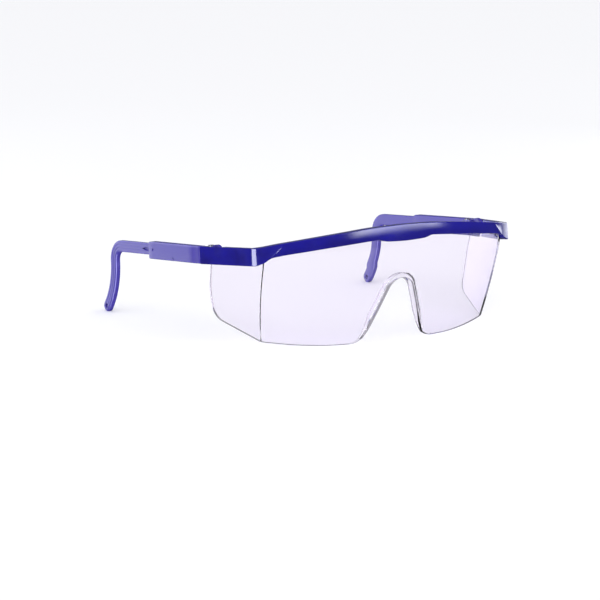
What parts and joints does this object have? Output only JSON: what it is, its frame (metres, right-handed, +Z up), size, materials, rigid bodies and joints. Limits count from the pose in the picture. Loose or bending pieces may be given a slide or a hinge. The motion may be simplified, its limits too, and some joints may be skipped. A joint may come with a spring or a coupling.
{
  "type": "safety glasses",
  "caption": "Wraparound safety glasses: a clear one-piece lens with side shields and nose arch, a blue brow frame, tilting hinges and folding, length-adjustable temples with ear hooks.",
  "frame": {"origin": "middle of the footprint on the table, under the glasses", "axes": "+X to the wearer's left, +Y towards the ear hooks, +Z up; the lens and both ear hooks touch Z = 0"},
  "size_m": [0.148, 0.129, 0.052],
  "materials": {
    "blue_frame": "deep royal blue moulded plastic, polished, slightly translucent at thin edges",
    "blue_temple": "royal blue moulded plastic, polished, with fine lengthwise flow lines",
    "blue_hinge": "royal blue moulded plastic, satin on the ratchet faces",
    "clear_lens": "clear polished moulding with a faint cool tint at the edges",
    "steel": "plain bright steel"
  },
  "bodies": {
    "frame": {"brow_frame": "blue_frame", "lens": "clear_lens", "tilt_screw_left": "steel", "tilt_screw_right": "steel"},
    "hinge_left": {"hinge_block_left": "blue_hinge", "hinge_pin_left": "steel"},
    "sleeve_left": {"temple_sleeve_left": "blue_temple"},
    "slider_left": {"temple_slider_left": "blue_temple"},
    "hinge_right": {"hinge_block_right": "blue_hinge", "hinge_pin_right": "steel"},
    "sleeve_right": {"temple_sleeve_right": "blue_temple"},
    "slider_right": {"temple_slider_right": "blue_temple"}
  },
  "joints": [
    {"name": "tilt_left", "type": "hinge", "parent": "frame", "child": "hinge_left", "pos_m": [0.07, -0.023, 0.03909], "axis": [1, 0, 0], "range_deg": [-6, 6]},
    {"name": "fold_left", "type": "hinge", "parent": "hinge_left", "child": "sleeve_left", "pos_m": [0.0682, -0.01703, 0.03847], "axis": [0, 0.104, 0.9946], "range_deg": [0, 88]},
    {"name": "slide_left", "type": "slide", "parent": "sleeve_left", "child": "slider_left", "axis": [-0.0105, 0.9945, -0.104], "range_m": [-0.008, 0.012]},
    {"name": "tilt_right", "type": "hinge", "parent": "frame", "child": "hinge_right", "pos_m": [-0.07, -0.023, 0.03909], "axis": [1, 0, 0], "range_deg": [-6, 6]},
    {"name": "fold_right", "type": "hinge", "parent": "hinge_right", "child": "sleeve_right", "pos_m": [-0.0682, -0.01703, 0.03847], "axis": [0, -0.104, -0.9946], "range_deg": [0, 78]},
    {"name": "slide_right", "type": "slide", "parent": "sleeve_right", "child": "slider_right", "axis": [0.0105, 0.9945, -0.104], "range_m": [-0.008, 0.012]}
  ]
}
